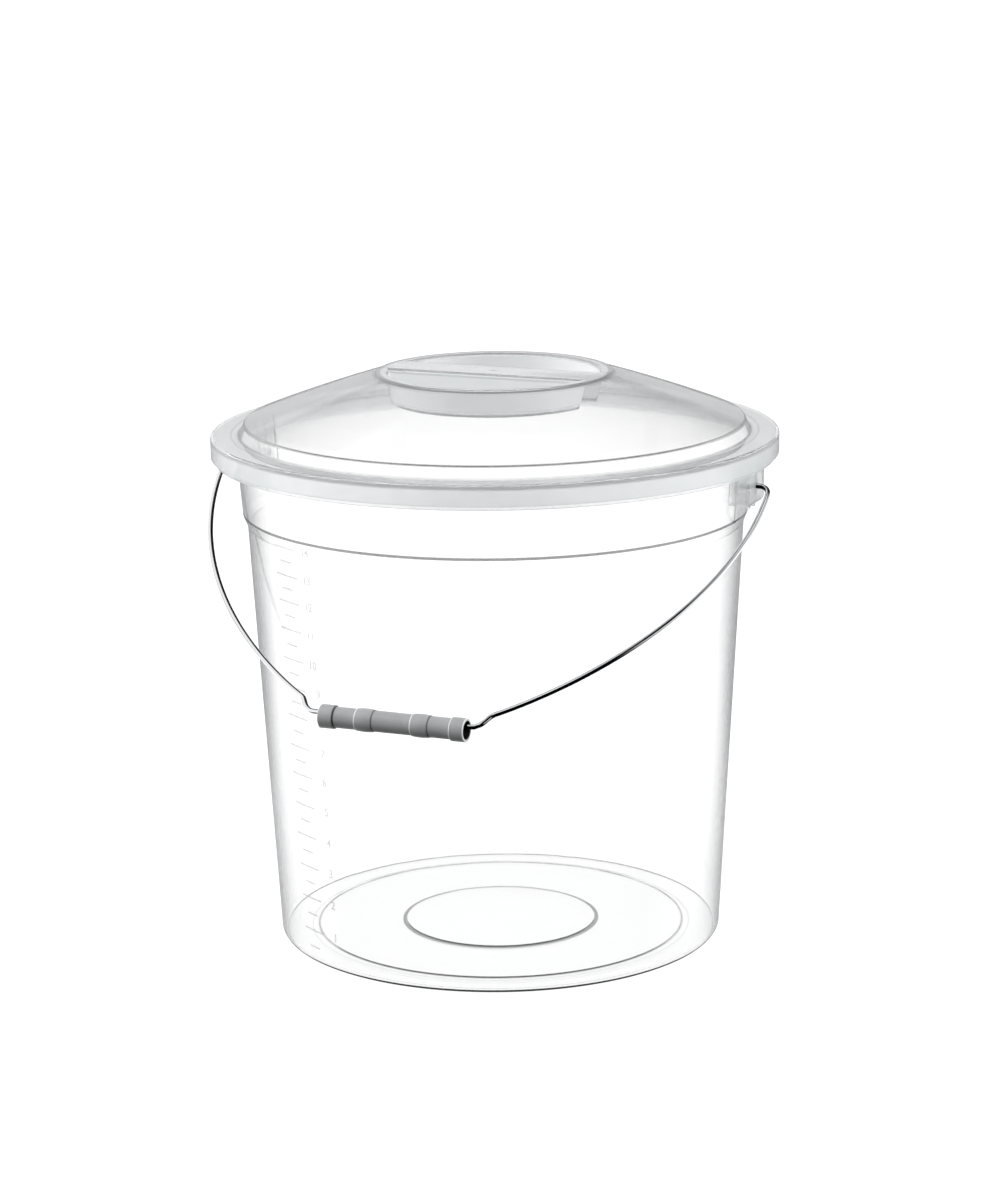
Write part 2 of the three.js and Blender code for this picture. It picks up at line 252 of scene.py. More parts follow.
def rounded(corners):
    """Points of an outline through (across, up, corner radius). A corner with a radius becomes an arc."""
    points = []
    for i, (across, up, radius) in enumerate(corners):
        here = Vector((across, up))
        if not radius:
            points.append(here)
            continue
        into = (here - Vector(corners[i - 1][:2])).normalized()
        out = (Vector(corners[i + 1][:2]) - here).normalized()
        turn = math.atan2(into.cross(out), into.dot(out))
        start = here - into * radius * math.tan(abs(turn) / 2)
        side = Vector((-into.y, into.x)) * math.copysign(radius, turn)
        steps = max(2, math.ceil(abs(turn) / ARC_STEP))
        for k in range(steps + 1):
            points.append(start + side - Matrix.Rotation(turn * k / steps, 2) @ side)
    return points


def inset_outline(points, wall):
    """An outline moved to its left by a wall, each corner along the mitre of its two sides."""
    moved = []
    for i, here in enumerate(points):
        before = points[max(i - 1, 0)]
        after = points[min(i + 1, len(points) - 1)]
        into = (here - before).normalized() if i else (after - here).normalized()
        out = (after - here).normalized() if i < len(points) - 1 else into
        mitre = Vector((-into.y - out.y, into.x + out.x)) / (1 + into.dot(out))
        moved.append(here + mitre * wall)
    return moved


# Modelling steps

def deselect():
    if bpy.context.object and bpy.context.object.mode == "EDIT":
        bpy.ops.object.mode_set(mode="OBJECT")
    bpy.ops.object.select_all(action="DESELECT")


def take_up(piece):
    """Makes a piece the one that the next operator acts on."""
    deselect()
    piece.select_set(True)
    bpy.context.view_layer.objects.active = piece


def named(name):
    piece = bpy.context.object
    piece.name = name
    piece.data.name = name
    return piece


def merged(piece):
    """Merges vertices that lie on top of each other, and turns the faces outwards."""
    take_up(piece)
    bpy.ops.object.mode_set(mode="EDIT")
    bpy.ops.mesh.select_all(action="SELECT")
    bpy.ops.mesh.remove_doubles(threshold=MERGE_GAP * MM)
    bpy.ops.mesh.normals_make_consistent(inside=False)
    bpy.ops.object.mode_set(mode="OBJECT")
    return piece


def spun(name, outline, axis="Z", steps=ROUND_STEPS, close=False):
    """A body of revolution: a vertex is drawn along the outline, and the line is spun once round."""
    def place(point):
        return Vector((point[0], 0, point[1])) * MM

    deselect()
    bpy.ops.mesh.primitive_plane_add(size=MM, location=(0, 0, 0))
    piece = named(name)
    bpy.ops.object.mode_set(mode="EDIT")
    bpy.ops.mesh.select_mode(type="VERT")
    bpy.ops.mesh.select_all(action="SELECT")
    bpy.ops.mesh.merge(type="CENTER")
    bpy.ops.transform.translate(value=place(outline[0]))
    ring = list(outline) + [outline[0]] * close
    for before, after in zip(ring, ring[1:]):
        step = place(after) - place(before)
        bpy.ops.mesh.extrude_region_move(TRANSFORM_OT_translate={"value": step})
    bpy.ops.mesh.select_all(action="SELECT")
    about = (0, 0, 1) if axis == "Z" else (1, 0, 0)
    bpy.ops.mesh.spin(steps=steps, angle=2 * math.pi, center=(0, 0, 0), axis=about)
    return merged(piece)


def block(name, low, high):
    """A cube added at its place and drawn out to its size."""
    deselect()
    middle = (Vector(low) + Vector(high)) / 2
    size = Vector(high) - Vector(low)
    bpy.ops.mesh.primitive_cube_add(size=1, location=middle * MM, scale=size * MM)
    bpy.ops.object.transform_apply(location=True, rotation=True, scale=True)
    return named(name)


def rod(name, low, high, radius, axis="Z"):
    """A cylinder from one place to another along an axis."""
    deselect()
    low, high = Vector(low), Vector(high)
    turn = (0, 0, 0) if axis == "Z" else (0, math.pi / 2, 0)
    bpy.ops.mesh.primitive_cylinder_add(
        vertices=ROD_SIDES, radius=radius * MM, depth=(high - low).length * MM,
        location=(low + high) / 2 * MM, rotation=turn,
    )
    bpy.ops.object.transform_apply(location=True, rotation=True, scale=True)
    return named(name)


def combine(piece, other, operation):
    """A piece joined with another closed body, or cut by it. The other one is used up."""
    take_up(piece)
    bpy.ops.object.modifier_add(type="BOOLEAN")
    cut = piece.modifiers[-1]
    cut.operation = operation
    cut.solver = "EXACT"
    cut.object = other
    bpy.ops.object.modifier_apply(modifier=cut.name)
    bpy.data.objects.remove(other)
    return piece


def copied(piece, name):
    other = piece.copy()
    other.data = piece.data.copy()
    other.name = name
    other.data.name = name
    bpy.context.scene.collection.objects.link(other)
    return other


def turned_half(piece):
    """Turns a piece by half a turn about +Z, in its mesh."""
    take_up(piece)
    piece.rotation_euler = (0, 0, math.pi)
    bpy.ops.object.transform_apply(location=True, rotation=True, scale=True)
    return piece


def bevel_where(piece, test, width, segments):
    """Rounds the edges that pass a test of their two ends and their faces' normals."""
    take_up(piece)
    bpy.ops.object.mode_set(mode="EDIT")
    bpy.ops.mesh.select_mode(type="EDGE")
    bpy.ops.mesh.select_all(action="DESELECT")
    bpy.ops.object.mode_set(mode="OBJECT")
    mesh = piece.data
    normals = {}
    for face in mesh.polygons:
        for key in face.edge_keys:
            normals.setdefault(key, []).append(face.normal)
    for edge in mesh.edges:
        ends = [mesh.vertices[v].co / MM for v in edge.vertices]
        edge.select = test(ends, normals.get(edge.key, []))
    bpy.ops.object.mode_set(mode="EDIT")
    bpy.ops.mesh.bevel(offset=width * MM, segments=segments, affect="EDGES", clamp_overlap=True)
    bpy.ops.object.mode_set(mode="OBJECT")


def is_sharp(normals):
    return len(normals) > 1 and normals[0].angle(normals[1]) >= SHARP


def one_face_at(piece, height):
    """Makes one face of the flat fan at a height, so that cuts and bevels meet whole edges there."""
    take_up(piece)
    heights = [vertex.co.z / MM for vertex in piece.data.vertices]
    for face in piece.data.polygons:
        face.select = all(abs(heights[v] - height) < NEAR for v in face.vertices)
    bpy.ops.object.mode_set(mode="EDIT")
    bpy.ops.mesh.select_mode(type="FACE")
    bpy.ops.mesh.dissolve_faces()
    bpy.ops.object.mode_set(mode="OBJECT")


def closed(piece):
    """Merges the vertices that cuts leave close together, and drops the faces without area."""
    take_up(piece)
    bpy.ops.object.mode_set(mode="EDIT")
    bpy.ops.mesh.select_all(action="SELECT")
    bpy.ops.mesh.remove_doubles(threshold=CUT_MERGE_GAP * MM)
    bpy.ops.mesh.dissolve_degenerate(threshold=MERGE_GAP * MM)
    bpy.ops.mesh.normals_make_consistent(inside=False)
    bpy.ops.object.mode_set(mode="OBJECT")
    return piece


def smooth(piece, degrees=32):
    take_up(piece)
    bpy.ops.object.shade_smooth_by_angle(angle=math.radians(degrees))
    return piece


# Bucket

def floor_outline(lift, ring_lift):
    """The floor from its middle over the step of its disc and down to the stand ring."""
    return [
        (0, lift + DISC_LIFT, 0),
        (DISC_RADIUS - DISC_RUN / 2, lift + DISC_LIFT, FLOOR_CORNER),
        (DISC_RADIUS + DISC_RUN / 2, lift, FLOOR_CORNER),
        (RING_INNER - FLOOR_STEP_RUN, lift, FLOOR_CORNER),
        (RING_INNER, ring_lift, FLOOR_CORNER),
    ]


def bucket_outside():
    return spun("bucket_shell", rounded([
        *floor_outline(FLOOR_LIFT, 0),
        (RING_OUTER, 0, BASE_CORNER),
        (wall_radius(BAND_FOOT), BAND_FOOT, BAND_CORNER),
        (band_radius(BAND_TOP), BAND_TOP, BAND_CORNER),
        (band_radius(RIM_UNDERSIDE), RIM_UNDERSIDE, CHANNEL_ROOT_CORNER),
        (LIP_INNER, RIM_UNDERSIDE, CHANNEL_CORNER),
        (LIP_INNER, LIP_BOTTOM, EDGE_ROUND),
        (RIM_RADIUS, LIP_BOTTOM, EDGE_ROUND),
        (RIM_RADIUS, BUCKET_HEIGHT, RIM_CORNER),
        (0, BUCKET_HEIGHT, 0),
    ]))


def bucket_hollow():
    top = BUCKET_HEIGHT + OVERRUN
    return spun("bucket_hollow", rounded([
        *floor_outline(FLOOR_LIFT + FLOOR, FLOOR),
        (wall_radius(FLOOR) - WALL, FLOOR, BASE_CORNER - WALL),
        (wall_radius(BAND_FOOT) - WALL, BAND_FOOT, BAND_CORNER),
        (band_radius(BAND_TOP) - WALL, BAND_TOP, BAND_CORNER),
        (RIM_INNER, RIM_UNDERSIDE + RIM_WALL - 2 * EDGE_ROUND, EDGE_ROUND),
        (RIM_INNER + 4 * EDGE_ROUND, BUCKET_HEIGHT + 2 * EDGE_ROUND, 0),
        (RIM_INNER + 4 * EDGE_ROUND, top, 0),
        (0, top, 0),
    ]))


def ear():
    """The ear on the +X side: a plate and two cheeks in the rim channel, a web and a drilled boss."""
    root = wall_radius(0)
    top = RIM_UNDERSIDE + RIM_WALL / 2
    plate_back = EAR_FACE - EAR_PLATE
    plate_middle = EAR_FACE - EAR_PLATE / 2
    half = EAR_HALF_WIDTH
    shell = block("ear", (root, -half, EAR_BOTTOM), (EAR_FACE, half, top))

    def lower_corner(ends, normals):
        return all(abs(abs(p.y) - half) < NEAR and abs(p.z - EAR_BOTTOM) < NEAR for p in ends)

    bevel_where(shell, lower_corner, EAR_CORNER, EAR_CORNER_STEPS)
    inside = half - EAR_CHEEK
    pocket_low = (root - OVERRUN, -inside, EAR_BOTTOM - OVERRUN)
    pocket = block("pocket", pocket_low, (plate_back, inside, RIM_UNDERSIDE))
    combine(shell, pocket, "DIFFERENCE")

    tip = EAR_FACE - EAR_WEB_INSET
    foot = EAR_BOTTOM - EAR_WEB_STEP
    tail = foot - EAR_WEB_TAIL
    web = block("web", (root, -EAR_WEB / 2, tail), (tip, EAR_WEB / 2, EAR_BOTTOM + OVERRUN))
    slope = Vector((tip - wall_radius(tail), 0, foot - tail))
    bpy.ops.object.mode_set(mode="EDIT")
    bpy.ops.mesh.select_all(action="SELECT")
    bpy.ops.mesh.bisect(
        plane_co=Vector((tip, 0, foot)) * MM, plane_no=(slope.z, 0, -slope.x),
        use_fill=True, clear_outer=True,
    )
    bpy.ops.object.mode_set(mode="OBJECT")
    thin = EAR_WEB / 2 - UPPER_WEB_INSET
    upper = block("upper_web", (root, -thin, EAR_BOTTOM), (plate_middle, thin, top - UPPER_WEB_DROP))
    boss_end = (plate_middle, 0, PIN_HEIGHT)
    boss = rod("boss", (root, 0, PIN_HEIGHT), boss_end, PIN_HOLE + EAR_BOSS_WALL, "X")
    hole_start = (EAR_FACE - PIN_HOLE_DEPTH, 0, PIN_HEIGHT)
    hole = rod("hole", hole_start, (EAR_FACE + OVERRUN, 0, PIN_HEIGHT), PIN_HOLE, "X")
    for part in (web, upper, boss):
        combine(shell, part, "UNION")
    return combine(shell, hole, "DIFFERENCE")


def make_bucket():
    bucket = bucket_outside()
    right = ear()
    left = turned_half(copied(right, "left_ear"))
    for side in (right, left):
        combine(bucket, side, "UNION")
    combine(bucket, bucket_hollow(), "DIFFERENCE")
    return smooth(bucket)


# Litre scale, moulded in low relief on the outside of the wall

def on_the_wall(across_degrees, height):
    """A place on the wall, by its angle from the front towards -X, and its axes: right, up, outwards."""
    angle = math.radians(across_degrees)
    out = Vector((-math.sin(angle), -math.cos(angle), 0))
    right = Vector((math.cos(angle), -math.sin(angle), 0))
    place = out * (wall_radius(height) + SCALE_GAP) + Vector((0, 0, height))
    return place, Matrix((right, (0, 0, 1), out)).transposed()


def tick(height, half_angle):
    """A curved bar that follows the wall at one height."""
    deselect()
    radius = wall_radius(height) + SCALE_GAP + SCALE_RELIEF / 2
    bpy.ops.mesh.primitive_plane_add(size=1, location=(0, 0, 0))
    bar = named("tick")
    bar.scale = (TICK_LINE * MM, SCALE_RELIEF * MM, 1)
    bpy.ops.object.transform_apply(location=True, rotation=True, scale=True)
    middle, axes = on_the_wall(TICK_MIDDLE - half_angle, height)
    bar.matrix_world = Matrix.Translation(
        (middle.xy.normalized() * radius).to_3d() * MM + Vector((0, 0, height * MM))
    ) @ Matrix((Vector((0, 0, 1)), axes.col[2], axes.col[0])).transposed().to_4x4()
    bpy.ops.object.transform_apply(location=True, rotation=True, scale=True)
    bpy.ops.object.mode_set(mode="EDIT")
    bpy.ops.mesh.select_all(action="SELECT")
    sweep = math.radians(2 * half_angle)
    bpy.ops.mesh.spin(steps=TICK_STEPS, angle=sweep, center=(0, 0, 0), axis=(0, 0, 1))
    return merged(bar)


def figure(number, height):
    """A plain number that reads from outside, with its left end at the right of the tick."""
    deselect()
    bpy.ops.object.text_add(location=(0, 0, 0))
    text = bpy.context.object
    text.data.body = str(number)
    text.data.size = FIGURE_SIZE * MM
    text.data.extrude = SCALE_RELIEF / 2 * MM
    text.data.offset = FIGURE_BOLDNESS * MM
    text.data.align_y = "CENTER"
    bpy.ops.object.convert(target="MESH")
    raised = merged(bpy.context.object)
    width = raised.dimensions.x / MM
    left = FIGURE_LEFT_TWO if number > 9 else FIGURE_LEFT_ONE
    middle, axes = on_the_wall(left - math.degrees(width / 2 / wall_radius(height)), height)
    start = middle - axes.col[0] * width / 2 + axes.col[2] * SCALE_RELIEF
    raised.matrix_world = Matrix.Translation(start * MM) @ axes.to_4x4()
    bpy.ops.object.transform_apply(location=True, rotation=True, scale=True)
    return raised


def make_scale():
    """A long tick and a figure at each whole litre, and a short tick half way up to it."""
    marks = []
    before = 0
    for number, height in enumerate(LITRE_HEIGHTS, start=1):
        marks.append(tick((height + before) / 2, SHORT_TICK_HALF))
        marks.append(tick(height, LONG_TICK_HALF))
        marks.append(figure(number, height))
        before = height
    deselect()
    for mark in marks:
        mark.select_set(True)
    bpy.context.view_layer.objects.active = marks[0]
    bpy.ops.object.join()
    return smooth(named("litre_scale"), 30)


# Lid

def dome_outline():
    """The dome from its foot on the flange, over the crease, up the crowned slope, to the crest's edge."""
    crease = Vector((DOME_FOOT - DOME_FOOT_RUN, FLANGE_TOP + CREASE_HEIGHT))
    neck = Vector((NECK_RADIUS, CREST_TOP - CREST_CORNER))
    up_slope = (neck - crease).normalized()
    crown = Vector((up_slope.y, -up_slope.x)) * SLOPE_CROWN
    slope = []
    for k in range(1, SLOPE_STEPS):
        share = k / SLOPE_STEPS
        slope.append((*(crease.lerp(neck, share) + crown * 4 * share * (1 - share)), 0))
    return rounded([
        (DOME_FOOT + FOOT_OVERLAP, FLANGE_TOP, 0),
        (DOME_FOOT, FLANGE_TOP, DOME_FOOT_ROUND),
        (*crease, CREASE_ROUND),
        *slope,
        (*neck, 0),
        (NECK_RADIUS - NECK_INSET, CREST_TOP, CREST_CORNER * CREST_ROUND_SHARE),
        (0, CREST_TOP, 0),
    ])


def lid_outside():
    skirt_bottom = FLANGE_TOP - SKIRT_DROP
    rim = rounded([
        (0, skirt_bottom, 0),
        (SKIRT_RADIUS, skirt_bottom, EDGE_ROUND),
        (SKIRT_RADIUS, FLANGE_TOP, FLANGE_CORNER),
        (DOME_FOOT + FOOT_OVERLAP, FLANGE_TOP, 0),
    ])
    lid = spun("lid_shell", rim[:-1] + dome_outline())
    one_face_at(lid, CREST_TOP)
    return lid


def lid_hollow():
    dome = inset_outline(dome_outline(), LID_WALL)
    bottom = FLANGE_TOP - SKIRT_DROP - OVERRUN
    rim = rounded([
        (0, bottom, 0),
        (SKIRT_INNER, bottom, 0),
        (SKIRT_INNER, FLANGE_UNDERSIDE, SKIRT_CORNER),
        (DOME_FOOT, FLANGE_UNDERSIDE, 0),
    ])
    return spun("lid_hollow", rim + [p for p in dome if p.x < DOME_FOOT - FOOT_OVERLAP / 2])


def half_cone(name, low, high, radius_at, chord, lean, turn=0):
    """A cone cut off behind a leaning plane, which leaves a D shape in front of the bar."""
    deselect()
    bpy.ops.mesh.primitive_cone_add(
        vertices=ROUND_STEPS, radius1=radius_at(low) * MM, radius2=radius_at(high) * MM,
        depth=(high - low) * MM, location=(0, 0, (low + high) / 2 * MM), rotation=(0, 0, turn),
    )
    bpy.ops.object.transform_apply(location=True, rotation=True, scale=True)
    body = named(name)
    bpy.ops.object.mode_set(mode="EDIT")
    bpy.ops.mesh.select_all(action="SELECT")
    bpy.ops.mesh.bisect(
        plane_co=(0, chord * MM, CREST_TOP * MM), plane_no=(0, 1, -lean),
        use_fill=True, clear_outer=True,
    )
    bpy.ops.object.mode_set(mode="OBJECT")
    return body


def finger_well(name, grow):
    """The D-shaped finger well in front of the bar, or that well grown by the lid's wall on every side."""
    low = CREST_TOP - WELL_DEPTH - grow

    def wall_at(height):
        return WELL_RADIUS + grow - WELL_DRAFT * (CREST_TOP - height) / WELL_DEPTH

    well = half_cone(name, low, CREST_TOP + OVERRUN, wall_at, grow - BAR_HALF_WIDTH, BAR_DRAFT / WELL_DEPTH)

    def low_or_upright(ends, normals):
        on_floor = all(abs(p.z - low) < NEAR for p in ends)
        upright = abs(ends[0].z - ends[1].z) > WELL_DEPTH / 2
        return is_sharp(normals) and (on_floor or upright)

    bevel_where(well, low_or_upright, WELL_CORNER, WELL_CORNER_STEPS)
    return well


def well_mouth(name):
    """The flare that takes the sharp edge off a finger well's lip."""
    low = CREST_TOP - MOUTH_DEPTH
    high = CREST_TOP + OVERRUN

    def flare_at(height):
        return WELL_RADIUS + WELL_LIP_ROUND + height - CREST_TOP

    half_step = math.pi / ROUND_STEPS
    mouth = half_cone(name, low, high, flare_at, WELL_LIP_ROUND - BAR_HALF_WIDTH, 1, half_step)

    def slanting_corner(ends, normals):
        return is_sharp(normals) and abs(ends[0].z - ends[1].z) > (high - low) / 2

    bevel_where(mouth, slanting_corner, WELL_CORNER, WELL_CORNER_STEPS)
    return mouth


def front_and_rear(front, rear_name):
    return front, turned_half(copied(front, rear_name))


def make_lid():
    lid = lid_outside()
    for well in front_and_rear(finger_well("front_well", 0), "rear_well"):
        combine(lid, well, "DIFFERENCE")
    for mouth in front_and_rear(well_mouth("front_mouth"), "rear_mouth"):
        combine(lid, mouth, "DIFFERENCE")
    gate = rod("gate_mark", (0, 0, CREST_TOP - GATE_DEPTH), (0, 0, CREST_TOP + OVERRUN), GATE_RADIUS)
    combine(lid, gate, "DIFFERENCE")
    hollow = lid_hollow()
    one_face_at(hollow, CREST_TOP - LID_WALL)
    for well in front_and_rear(finger_well("front_well_outside", LID_WALL), "rear_well_outside"):
        combine(hollow, well, "DIFFERENCE")
    combine(lid, hollow, "DIFFERENCE")
    return smooth(closed(lid))


# Bail

def hung(across, down):
    """Where a place in the flat bail lies, once the bail hangs forward in its ears."""
    return Vector((
        across - BAIL_SIDE_SHIFT,
        -down * math.sin(BAIL_TILT),
        PIN_HEIGHT - down * math.cos(BAIL_TILT),
    ))


def bezier(ends, steps):
    """Points along a cubic curve through its first and last place."""
    points = []
    for k in range(steps + 1):
        t = k / steps
        weights = ((1 - t) ** 3, 3 * t * (1 - t) ** 2, 3 * t * t * (1 - t), t ** 3)
        points.append(sum((Vector(p) * w for p, w in zip(ends, weights)), Vector((0, 0))))
    return points


def half_wire():
    """The wire's centre line from the tip of its pin to the end of its straight run through the grip."""
    bend = []
    for k in range(BEND_STEPS + 1):
        angle = (k / BEND_STEPS - 1) * math.pi / 2
        bend.append(Vector((
            LEG_HALF_WIDTH - BAIL_BEND + BAIL_BEND * math.cos(angle),
            BAIL_BEND + BAIL_BEND * math.sin(angle),
        )))
    bow_end = (GRIP_RUN_HALF + JOGGLE_RUN, BAIL_DEPTH - JOGGLE_DEPTH)
    bow = bezier((
        (LEG_HALF_WIDTH, BAIL_BEND),
        (LEG_HALF_WIDTH, BAIL_DEPTH * LEG_REACH),
        (LEG_HALF_WIDTH * BOW_TURN_ACROSS, BAIL_DEPTH * BOW_TURN_REACH),
        bow_end,
    ), BOW_STEPS)
    joggle = []
    for across, rise in JOGGLE_SHARES:
        joggle.append(Vector((GRIP_RUN_HALF + JOGGLE_RUN * across, BAIL_DEPTH - JOGGLE_DEPTH * rise)))
    return [Vector((PIN_TIP, 0)), *bend, *bow[1:], *joggle]


def make_bail():
    half = half_wire()
    route = [hung(p.x, p.y) for p in half] + [hung(-p.x, p.y) for p in reversed(half)]
    deselect()
    bpy.ops.curve.primitive_bezier_curve_add(location=(0, 0, 0))
    bail = named("steel_bail")
    line = bail.data
    line.splines.clear()
    spline = line.splines.new("POLY")
    spline.points.add(len(route) - 1)
    for point, place in zip(spline.points, route):
        point.co = (*(place * MM), 1)
    line.dimensions = "3D"
    line.bevel_depth = WIRE_RADIUS * MM
    line.bevel_resolution = WIRE_ROUNDNESS
    line.use_fill_caps = True
    bpy.ops.object.convert(target="MESH")
    return smooth(merged(bpy.context.object), 40)


# Grip

def grip_middle():
    return hung(0, BAIL_DEPTH) + Vector((GRIP_SIDE_SHIFT, 0, -GRIP_HANG))


def make_grip():
    end = GRIP_LENGTH / 2
    bead_from = GRIP_MIDDLE / 2
    bead_to = bead_from + BEAD_LENGTH
    foot = GRIP_RADIUS + BEAD_FOOT
    barrel = []
    for k in range(1, BEAD_STEPS):
        share = k / BEAD_STEPS
        swell = (BEAD_RADIUS - foot) * math.sin(math.pi * share)
        barrel.append((bead_from + BEAD_LENGTH * share, foot + swell, 0))
    half = rounded([
        (0, GRIP_RADIUS, 0),
        (bead_from, GRIP_RADIUS, BEAD_EDGE),
        (bead_from, foot, BEAD_EDGE),
        *barrel,
        (bead_to, foot, BEAD_EDGE),
        (bead_to, GRIP_RADIUS, BEAD_EDGE),
        (end - COLLAR_LENGTH, GRIP_RADIUS, COLLAR_FOOT_EDGE),
        (end - COLLAR_LENGTH, COLLAR_RADIUS, COLLAR_EDGE),
        (end, COLLAR_RADIUS, GRIP_END_EDGE),
        (end, GRIP_RECESS_RADIUS, COLLAR_EDGE),
        (end - GRIP_RECESS_DEPTH, GRIP_RECESS_RADIUS, COLLAR_EDGE),
        (end - GRIP_RECESS_DEPTH, GRIP_BORE, COLLAR_EDGE),
        (0, GRIP_BORE, 0),
    ])
    other = [Vector((-p.x, p.y)) for p in reversed(half)]
    grip = spun("grip_tube", half + other[1:-1], axis="X", steps=GRIP_STEPS, close=True)
    take_up(grip)
    grip.location = grip_middle() * MM
    bpy.ops.object.transform_apply(location=True, rotation=True, scale=True)
    return smooth(grip, 40)


# Materials

# The room around the object. A span is where one level goes over to the next, in metres on the floor and as
# the reach of a direction in the room.
PAPER_GLOW = 0.88
CAMERA_RIGHT = (math.cos(CAMERA_ROUND), math.sin(CAMERA_ROUND), 0)
TO_CAMERA = (math.sin(CAMERA_ROUND), -math.cos(CAMERA_ROUND), 0)
DARK_CORNER = (0.208, 0.685, 0.699)
PAPER_EDGE = (2.6, 4.5)
PAPER_BEHIND = (-0.5, -0.15)
BOARDS_START = (0.04, 0.12)
BOARDS_SIDE = (0.3, 0.8)
BENT_SKY = (0.42, 0.75)
LOW_GLOW = (0.28, 0.36)
HIGH_GLOW = (0.62, 0.7)
LEFT_GLOW = (-0.4, -0.25)
FRONT_FLAG = (0.62, 0.74)
CORNER_FLAG = (0.74, 0.82)
SOFT_LIGHT = (0.2, 1.0)

# Painted reflections on the wire: dark lines that stand for the dark side of the room it mirrors. Each has
# its half by the sign of x, a direction, from and to how far the surface faces that way, and how soft the
# line's sides are.
PAINTED_WIRE_REFLECTIONS = [
    (-1, (0.05, 0.83, 0.56), 0.02, 0.58, 0.08),
    (1, (0.89, 0.31, 0.34), 0.17, 0.36, 0.04),
    (1, (-0.21, -0.95, -0.23), 0.62, 1.2, 0.06),
]

# Zones of the clear plastic: a measure, its limits, heights, and the shares where light meets the plastic
# and where it leaves it. The first four values lie off the pieces, so that no soft end shows there.
AXIS = -5
BEYOND = 175
UNDER_SKIRT = 280
OVER_RIM = 300
FLOOR_ZONE = (-1, 4.2)
FLOOR_STEP = RING_INNER - FLOOR_STEP_RUN
STEP_ZONE = (145, 149)
WELL_FLOOR = CREST_TOP - WELL_DEPTH
CREST_ZONE = (AXIS, NECK_RADIUS + 0.5)
FLAT_ZONE = (FLANGE_TOP - 0.5, FLANGE_TOP + 0.7)
BUCKET_MILK = [("radius", (149, BEYOND), (255, OVER_RIM), 0.28, 0.28)]
BUCKET_WALL = [("radius", (BASE_RADIUS - 4, BEYOND), (3, OVER_RIM), 1, 1)]
# Painted shade: dark lines at the band's step, the floor's steps, the base's edge and the ears' edges.
BUCKET_PAINTED_SHADE = [
    ("radius", STEP_ZONE, (BAND_TOP + 0.3, BAND_TOP + 1.9), 0.72, 0),
    ("radius", STEP_ZONE, (BAND_TOP - 1.1, BAND_TOP - 0.7), 0.15, 0),
    ("radius", (DISC_RADIUS - DISC_RUN / 2, DISC_RADIUS + DISC_RUN / 2), FLOOR_ZONE, 0.42, 0.42),
    ("radius", (FLOOR_STEP - 0.5, FLOOR_STEP + 0.6), FLOOR_ZONE, 0.36, 0.36),
    ("radius", (RING_INNER - 1.5, RING_INNER - 1), FLOOR_ZONE, 0.12, 0.12),
    ("radius", (BASE_RADIUS - 3, BASE_RADIUS + 2), (-1, 2.2), 1, 0),
    ("radius", (152, BEYOND), (EAR_BOTTOM - 1, EAR_BOTTOM + 0.7), 0.35, 0),
    ("depth", (EAR_HALF_WIDTH - 0.5, EAR_HALF_WIDTH + 1), (EAR_BOTTOM - 1, LIP_BOTTOM + 1), 0.1, 0),
]
LID_MILK = [
    ("radius", (SKIRT_INNER - 0.4, BEYOND), (UNDER_SKIRT, FLANGE_TOP - 0.9), 0.37, 0.17),
    ("radius", (148, SKIRT_INNER), (UNDER_SKIRT, FLANGE_TOP + 1), 0.06, 0.06),
    ("radius", CREST_ZONE, (WELL_FLOOR - 2, WELL_FLOOR + 1), 0.25, 0.25),
    ("radius", CREST_ZONE, (WELL_FLOOR + 1, CREST_TOP - 2), 0.72, 0.72),
    ("radius", CREST_ZONE, (CREST_TOP - 2, CREST_TOP + 1), 0.14, 0.14),
]
LID_SLOPE = [("above_slope", (-0.3, 2), (FLANGE_TOP + 4, CREST_TOP - 0.5), 1, 0)]
# Painted shade: dark lines at the lid's crease, dome foot, flange, skirt, crest, bar edges and under the
# wells.
LID_PAINTED_SHADE = [
    ("radius", (CREASE_RADIUS - 0.7, CREASE_RADIUS + 0.5), (FLANGE_TOP + 3.5, FLANGE_TOP + 8), 0.3, 0),
    ("radius", (DOME_FOOT - 0.6, DOME_FOOT + 1), FLAT_ZONE, 0.25, 0),
    ("radius", (DOME_FOOT + 3.9, DOME_FOOT + 5.3), FLAT_ZONE, 0.12, 0),
    ("radius", (SKIRT_RADIUS - 1.4, SKIRT_RADIUS + 1), (FLANGE_TOP - 2.6, FLANGE_TOP - 0.8), 0.3, 0),
    ("radius", (NECK_RADIUS - 0.9, NECK_RADIUS + 1), (CREST_TOP - 1.2, CREST_TOP + 1), 0.05, 0.05),
    ("radius", (NECK_RADIUS - 3, NECK_RADIUS + 2), (CREST_TOP - 2.4, CREST_TOP - 0.1), 0, 0.7),
    ("depth", (BAR_HALF_WIDTH - 0.9, BAR_HALF_WIDTH + 0.3), (CREST_TOP - 1, CREST_TOP + 1), 0.34, 0),
    ("depth", (BAR_HALF_WIDTH - 1, BAR_HALF_WIDTH + 0.4), (CREST_TOP - 2.9, CREST_TOP - 2), 0.26, 0),
    ("radius", (AXIS, WELL_RADIUS), (WELL_FLOOR - LID_WALL - 0.4, WELL_FLOOR - LID_WALL + 1.2), 0.22, 0.22),
]


def linear(hex_code):
    """An sRGB hex colour as linear RGBA."""
    parts = [int(hex_code[i:i + 2], 16) / 255 for i in (1, 3, 5)]
    return (*(c / 12.92 if c <= 0.04045 else ((c + 0.055) / 1.055) ** 2.4 for c in parts), 1)


def add_node(tree, kind, inputs=None, **settings):
    """Adds a node, sets its properties, and gives each named input a value or a link."""
    made = tree.nodes.new(kind)
    for name, value in settings.items():
        setattr(made, name, value)
    for name, value in (inputs or {}).items():
        if isinstance(value, bpy.types.NodeSocket):
            tree.links.new(value, made.inputs[name])
        else:
            made.inputs[name].default_value = value
    return made


def fresh_material(name):
    material = bpy.data.materials.new(name)
    material.use_nodes = True
    material.node_tree.nodes.clear()
    return material, material.node_tree


